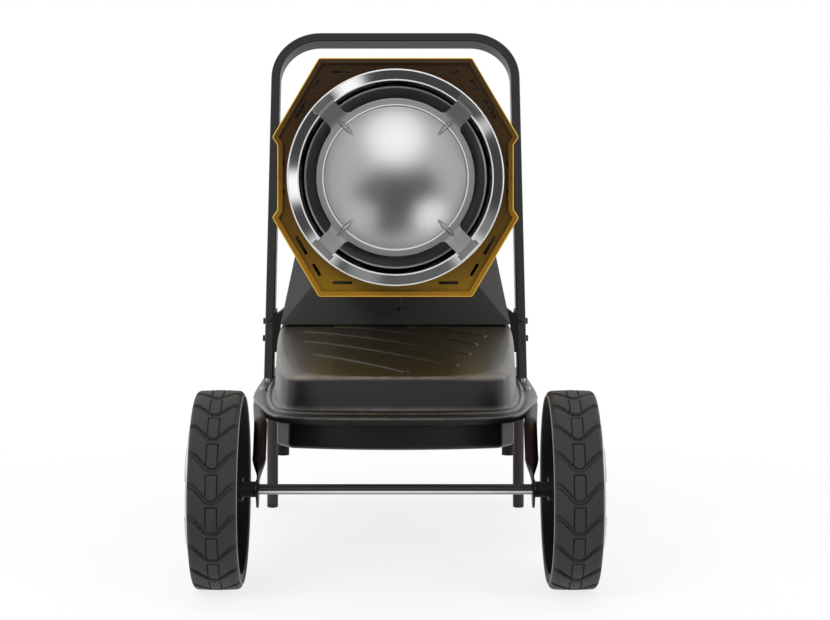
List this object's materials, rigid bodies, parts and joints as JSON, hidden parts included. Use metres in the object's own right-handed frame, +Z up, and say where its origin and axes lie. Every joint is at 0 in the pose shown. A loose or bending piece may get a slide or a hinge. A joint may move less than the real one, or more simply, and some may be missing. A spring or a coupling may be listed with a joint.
{
  "type": "forced air heater",
  "caption": "Wheeled forced air heater: faceted housing with a flared round outlet on a black fuel tank, with ribbed rubber wheels, tube legs and a leaning hoop handle.",
  "frame": {"origin": "centre of the bounding box, at ground level", "axes": "+X to the right seen from the front, +Y to the rear (the warm air leaves towards -Y), +Z up"},
  "size_m": [0.633, 1.1, 0.9253],
  "materials": {
    "housing": "satin",
    "panel": "satin",
    "bright": "satin",
    "burner": "heat stained",
    "galvanised": "dull",
    "zinc": "zinc plated",
    "tank": "semi-gloss",
    "cabinet": "semi-gloss",
    "frame": "gloss",
    "rubber": "matte",
    "tyre": "matte",
    "rim": "matte",
    "trim": "silver",
    "motor": "satin",
    "aluminium": "cast",
    "brass": "plain",
    "copper": "drawn tube",
    "ceramic": "glazed",
    "plastic": "matte",
    "control_red": "gloss",
    "board": "satin",
    "glass": "clear",
    "filter_foam": "foam"
  },
  "bodies": {
    "heater": {"axle": "frame", "axle_fasteners": "zinc", "left_frame_tube": "frame", "right_frame_tube": "frame", "leg_caps": "rubber", "handle_hoop": "frame", "handle_bolts": "zinc", "tank_top": "tank", "tank_bottom": "tank", "flange_bolts": "zinc", "tank_studs": "rubber", "drain_plug": "zinc", "filler_neck": "zinc", "filler_strainer": "galvanised", "fuel_gauge": "plastic", "gauge_lens": "glass", "fuel_pickup": "brass", "upper_shell": "housing", "lower_shell": "housing", "shell_screws": "zinc", "front_panel": "panel", "rear_guard": "plastic", "outlet_ring": "bright", "flame_diffuser": "bright", "combustion_chamber": "burner", "heat_shield": "galvanised", "burner_head": "burner", "fuel_nozzle": "brass", "spark_electrodes": "ceramic", "photocell": "plastic", "fan_shroud": "galvanised", "fan_motor": "motor", "motor_mount": "galvanised", "pump_body": "aluminium", "pump_end_cover": "aluminium", "air_filter": "filter_foam", "pressure_gauge": "brass", "cabinet": "cabinet", "side_brackets": "frame", "control_panel": "plastic", "display_window": "glass", "thermostat_body": "zinc", "switch_housing": "plastic", "power_inlet": "plastic", "control_board": "board", "ignition_transformer": "motor", "fuel_line": "copper"},
    "left_wheel": {"left_tyre": "tyre", "left_rim": "rim", "left_wheel_trim": "trim"},
    "right_wheel": {"right_tyre": "tyre", "right_rim": "rim", "right_wheel_trim": "trim"},
    "fan_rotor": {"fan_blades": "aluminium", "motor_shaft": "zinc", "pump_rotor": "plastic"},
    "cap": {"fuel_cap": "plastic"},
    "knob": {"thermostat_knob": "plastic"},
    "rocker": {"power_switch": "control_red"},
    "button": {"reset_button": "control_red"}
  },
  "joints": [
    {"name": "left_wheel_spin", "type": "hinge", "parent": "heater", "child": "left_wheel", "pos_m": [-0.2715, -0.39748, 0.1525], "axis": [1, 0, 0], "continuous": true},
    {"name": "right_wheel_spin", "type": "hinge", "parent": "heater", "child": "right_wheel", "pos_m": [0.2715, -0.39748, 0.1525], "axis": [1, 0, 0], "continuous": true},
    {"name": "fan_spin", "type": "hinge", "parent": "heater", "child": "fan_rotor", "pos_m": [0, 0.16052, 0.635], "axis": [0, 1, 0], "continuous": true},
    {"name": "cap_turn", "type": "hinge", "parent": "heater", "child": "cap", "pos_m": [0.118, 0.40852, 0.388], "axis": [0, 0, 1], "range_deg": [0, 90]},
    {"name": "knob_turn", "type": "hinge", "parent": "heater", "child": "knob", "pos_m": [-0.008, 0.35052, 0.41], "axis": [0, 1, 0], "range_deg": [0, 270]},
    {"name": "switch_rock", "type": "hinge", "parent": "heater", "child": "rocker", "pos_m": [0.038, 0.34752, 0.41], "axis": [1, 0, 0], "range_deg": [0, 18]},
    {"name": "button_press", "type": "slide", "parent": "heater", "child": "button", "axis": [0, -1, 0], "range_m": [0, 0.0025], "stiffness_N_per_m": 200}
  ]
}
